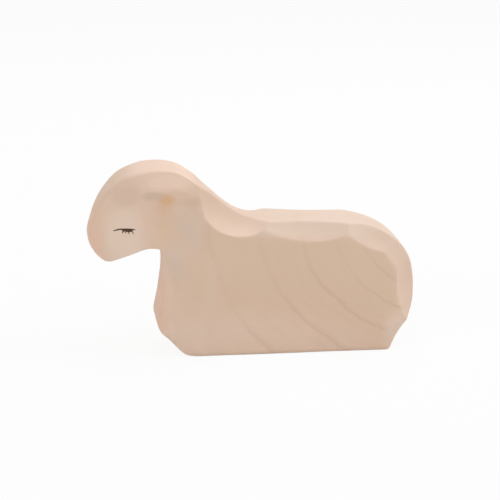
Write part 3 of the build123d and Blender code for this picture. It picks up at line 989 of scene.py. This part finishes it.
class SheepBody(bpy.types.PropertyGroup):
    edge_softness: length_setting("Edge softness", "How softly the cuts meet", 0.00026, 0.00005)
    corner_softness: length_setting(
        "Corner softness", "How softly the outline's corners are rounded", 0.0005, 0.0001
    )
    hand_wobble: length_setting("Hand wobble", "Unevenness left by carving by hand", 0.00012)
    columns: IntProperty(
        name="Columns", description="Columns of the surface round the outline", default=760, min=100
    )
    rows: IntProperty(
        name="Rows", description="Rows of the surface on each side", default=60, min=12
    )
    wood_colour: tone_setting("Wood", "Main colour of the wood", (0.80, 0.60, 0.47))
    warm_colour: tone_setting(
        "Warm wood", "Colour of the warmer clouds in the wood", (0.78, 0.57, 0.43)
    )
    # Painted highlight: paler wood on the cheek, the heel, the back's bevels and the flank low down
    highlight_colour: tone_setting(
        "Pale wood", "Colour of the cheek and of fresh cuts", (0.84, 0.66, 0.535)
    )
    # Painted shade in the hollows over the eye and under the ear
    hollow_shade_colour: tone_setting(
        "Hollow", "Colour of the hollows over the eye and under the ear", (0.70, 0.52, 0.395)
    )
    # Painted highlight along the ear's lip and the top of the crown
    ear_highlight_colour: tone_setting(
        "Ear", "Colour of the bright cut along the ear and crown", (0.91, 0.68, 0.54)
    )
    # Warmer wood along the front, darkened with painted shade
    rosy_and_shade_colour: tone_setting(
        "Rosy wood", "Colour of the warmer wood along the front", (0.80, 0.545, 0.405)
    )
    # Painted shade on the neck below the ear
    neck_shade_colour: tone_setting("Neck", "Colour of the greyer patch on the neck", (0.72, 0.56, 0.445))
    ochre_colour: tone_setting(
        "Ochre", "Colour of the yellowish stain below the ear", (0.745, 0.475, 0.275)
    )
    # Painted shade on the board's flat side
    flank_shade_colour: tone_setting("Flank", "Colour of the board's flat side", (0.755, 0.555, 0.41))
    band_colour: tone_setting(
        "Band", "Colour of the pale upright band behind the breast", (0.77, 0.595, 0.455)
    )
    ring_colour: tone_setting(
        "Growth rings", "Colour of the thin lines between the rings", (0.50, 0.31, 0.19)
    )
    ring_strength: FloatProperty(
        name="Ring strength", description="How strongly the rings are drawn", default=0.25, min=0.0,
        max=1.0, subtype="FACTOR",
    )
    ring_centre_x: FloatProperty(
        name="Ring centre along", description="Place along the sheep of the rings' middle line",
        default=0.6455 * TOTAL_LENGTH, unit="LENGTH", precision=4,
    )
    ring_centre_z: FloatProperty(
        name="Ring centre height", description="Height of the rings' middle line",
        default=0.7633 * CROWN_HEIGHT, unit="LENGTH", precision=4,
    )
    first_ring: FloatProperty(
        name="First ring", description="Distance of one ring from the middle line",
        default=0.3458 * TOTAL_LENGTH, unit="LENGTH", precision=4,
    )
    ring_step: FloatProperty(
        name="Ring step", description="Growth of the distance's logarithm from ring to ring",
        default=0.215,
    )
    ring_squash: FloatProperty(
        name="Ring squash", description="How much flatter the rings are along the sheep than up it",
        default=0.836,
    )


class SheepEyes(bpy.types.PropertyGroup):
    paint_lift: length_setting(
        "Paint thickness", "How far the paint stands on the wood", 0.00009, 0.00001
    )
    paint_colour: tone_setting("Paint", "Colour of the thick paint", (0.045, 0.023, 0.011))
    thin_paint_colour: tone_setting(
        "Thin paint", "Colour where the paint is thin", (0.17, 0.1, 0.058)
    )


class SheepStage(bpy.types.PropertyGroup):
    azimuth: FloatProperty(
        name="Camera azimuth", description="Turn of the camera round the sheep",
        default=math.radians(-7.0), subtype="ANGLE",
    )
    elevation: FloatProperty(
        name="Camera elevation", description="Height of the camera as an angle",
        default=math.radians(14.0), subtype="ANGLE",
    )
    distance: FloatProperty(
        name="Camera distance", description="Distance of the camera from its aim", default=0.7,
        unit="LENGTH",
    )
    lens: FloatProperty(name="Lens", description="Focal length in millimetres", default=148.6)
    aim_height: FloatProperty(
        name="Aim height", description="Height that the camera looks at", default=0.0334,
        unit="LENGTH", precision=4,
    )
    front_power: power_setting("Front light", "Power of the light above the front", 0.85)
    left_power: power_setting("Left light", "Power of the light from the front left", 1.33)
    right_power: power_setting("Right light", "Power of the light above the right", 1.66)
    side_power: power_setting("Side light", "Power of the low light on the right", 0.8)
    back_power: power_setting("Back light", "Power of the light behind", 1.75)
    world_strength: FloatProperty(
        name="Room light", description="Strength of the even light of the room", default=0.43
    )
    floor_colour: tone_setting("Floor", "Colour of the floor", (0.96, 0.96, 0.96))
    floor_white: FloatProperty(
        name="Floor whiteness",
        description="Share of plain white in what the camera sees of the floor",
        default=0.9, min=0.0, max=1.0, subtype="FACTOR",
    )


# The stage, in metres: half the floor's width and its points along a side, where the lamps aim, how
# far along the sheep the camera aims, and the width of its sensor in millimetres
HALF_FLOOR = 2.5
FLOOR_POINTS = 5
LAMP_AIM = (0.0, 0.0, 0.03)
AIM_X = -0.00005
SENSOR_WIDTH = 36
# Each lamp's name, place, size, the setting with its power, and its tint
LAMPS = [
    ("above_the_front", (0.0, -0.45, 0.7), 0.6, "front_power", (1.0, 1.0, 1.0)),
    ("from_the_left", (-0.7, -0.55, 0.3), 0.5, "left_power", (1.0, 0.95, 0.9)),
    ("above_the_right", (0.5, -0.05, 0.6), 0.4, "right_power", (0.97, 1.0, 1.04)),
    ("low_on_the_right", (0.9, -0.15, 0.1), 0.4, "side_power", (0.85, 1.0, 1.12)),
    ("behind", (0.1, 0.4, 0.75), 0.5, "back_power", (1.0, 0.97, 1.0)),
]


def lay_floor(scene, settings):
    side = np.linspace(-HALF_FLOOR, HALF_FLOOR, FLOOR_POINTS)
    x, y = np.meshgrid(side, side, indexing="ij")
    points = np.stack([x, y, np.zeros_like(x)], axis=-1).reshape(-1, 3)
    mesh = bpy.data.meshes.new("floor")
    cells = grid_faces(FLOOR_POINTS, FLOOR_POINTS, closed_columns=False)[:, ::-1]
    mesh.from_pydata(points, [], cells)
    mesh.materials.append(pale_floor(settings))
    floor = bpy.data.objects.new("floor", mesh)
    scene.collection.objects.link(floor)


def looking_against(direction):
    """The turn of a lamp or camera that looks against the direction."""
    return Vector(direction).to_track_quat("Z", "Y").to_euler()


def hang_lamp(scene, name, place, size, power, tint):
    lamp = bpy.data.lights.new(name, "AREA")
    lamp.shape = "SQUARE"
    lamp.size = size
    lamp.energy = power
    lamp.color = tint
    holder = bpy.data.objects.new(name, lamp)
    scene.collection.objects.link(holder)
    holder.location = place
    holder.rotation_euler = looking_against(Vector(place) - Vector(LAMP_AIM))


def set_camera(scene, settings):
    camera = bpy.data.cameras.new("camera")
    camera.sensor_width = SENSOR_WIDTH
    camera.lens = settings.lens
    holder = bpy.data.objects.new("camera", camera)
    scene.collection.objects.link(holder)
    turn, height = settings.azimuth, settings.elevation
    level = math.cos(height)
    back = Vector((math.sin(turn) * level, -math.cos(turn) * level, math.sin(height)))
    holder.location = Vector((AIM_X, 0, settings.aim_height)) + back * settings.distance
    holder.rotation_euler = looking_against(back)
    scene.camera = holder


# The operators
class SHEEP_OT_carve_body(bpy.types.Operator):
    """Carve the sheep's body from the board and give it its wood"""

    bl_idname = "sheep.carve_body"
    bl_label = "Carve the body"

    def execute(self, context):
        settings = context.scene.sheep_body
        points = carved_grid(settings)
        faces = grid_faces(*points.shape[:2])
        wood = carved_wood(settings)
        new_piece("carved_body", points.reshape(-1, 3), faces, wood, "wooden_body")
        return {"FINISHED"}


class SHEEP_OT_paint_eyes(bpy.types.Operator):
    """Paint the closed eyelid and its lashes on both cheeks"""

    bl_idname = "sheep.paint_eyes"
    bl_label = "Paint the eyes"

    def execute(self, context):
        eyes = context.scene.sheep_eyes
        body = context.scene.sheep_body
        paint = brushed_paint(eyes)
        for word, side in (("left", -1), ("right", 1)):
            for kind, strokes in (("eyelid_line", [LID_SHARES]), ("lashes", LASH_SHARES)):
                node = f"{word}_{kind}"
                painted_piece(eyes, body, strokes, f"{node}_stroke", node, side, paint)
        return {"FINISHED"}


class SHEEP_OT_set_stage(bpy.types.Operator):
    """Set up the floor, the room, the soft lights and the camera"""

    bl_idname = "sheep.set_stage"
    bl_label = "Set the stage"

    def execute(self, context):
        scene = context.scene
        settings = scene.sheep_stage
        scene.view_settings.view_transform = "Standard"
        lay_floor(scene, settings)
        scene.world = even_room(settings)
        for name, place, size, power, tint in LAMPS:
            hang_lamp(scene, name, place, size, getattr(settings, power), tint)
        set_camera(scene, settings)
        return {"FINISHED"}


class SHEEP_PT_panel(bpy.types.Panel):
    bl_label = "Carved sheep"
    bl_idname = "SHEEP_PT_panel"
    bl_space_type = "VIEW_3D"
    bl_region_type = "UI"
    bl_category = "Sheep"

    def draw(self, context):
        for title, settings, operator in (
            ("Body", context.scene.sheep_body, SHEEP_OT_carve_body),
            ("Eyes", context.scene.sheep_eyes, SHEEP_OT_paint_eyes),
            ("Stage", context.scene.sheep_stage, SHEEP_OT_set_stage),
        ):
            box = self.layout.box()
            box.label(text=title)
            for name in settings.__annotations__:
                box.prop(settings, name)
            box.operator(operator.bl_idname)


CLASSES = (
    SheepBody, SheepEyes, SheepStage,
    SHEEP_OT_carve_body, SHEEP_OT_paint_eyes, SHEEP_OT_set_stage, SHEEP_PT_panel,
)


def register():
    for cls in CLASSES:
        bpy.utils.register_class(cls)
    bpy.types.Scene.sheep_body = PointerProperty(type=SheepBody)
    bpy.types.Scene.sheep_eyes = PointerProperty(type=SheepEyes)
    bpy.types.Scene.sheep_stage = PointerProperty(type=SheepStage)


def unregister():
    del bpy.types.Scene.sheep_stage, bpy.types.Scene.sheep_eyes, bpy.types.Scene.sheep_body
    for cls in reversed(CLASSES):
        bpy.utils.unregister_class(cls)


def main():
    register()
    bpy.ops.sheep.carve_body()
    bpy.ops.sheep.paint_eyes()
    bpy.ops.sheep.set_stage()


if __name__ == "__main__":
    main()
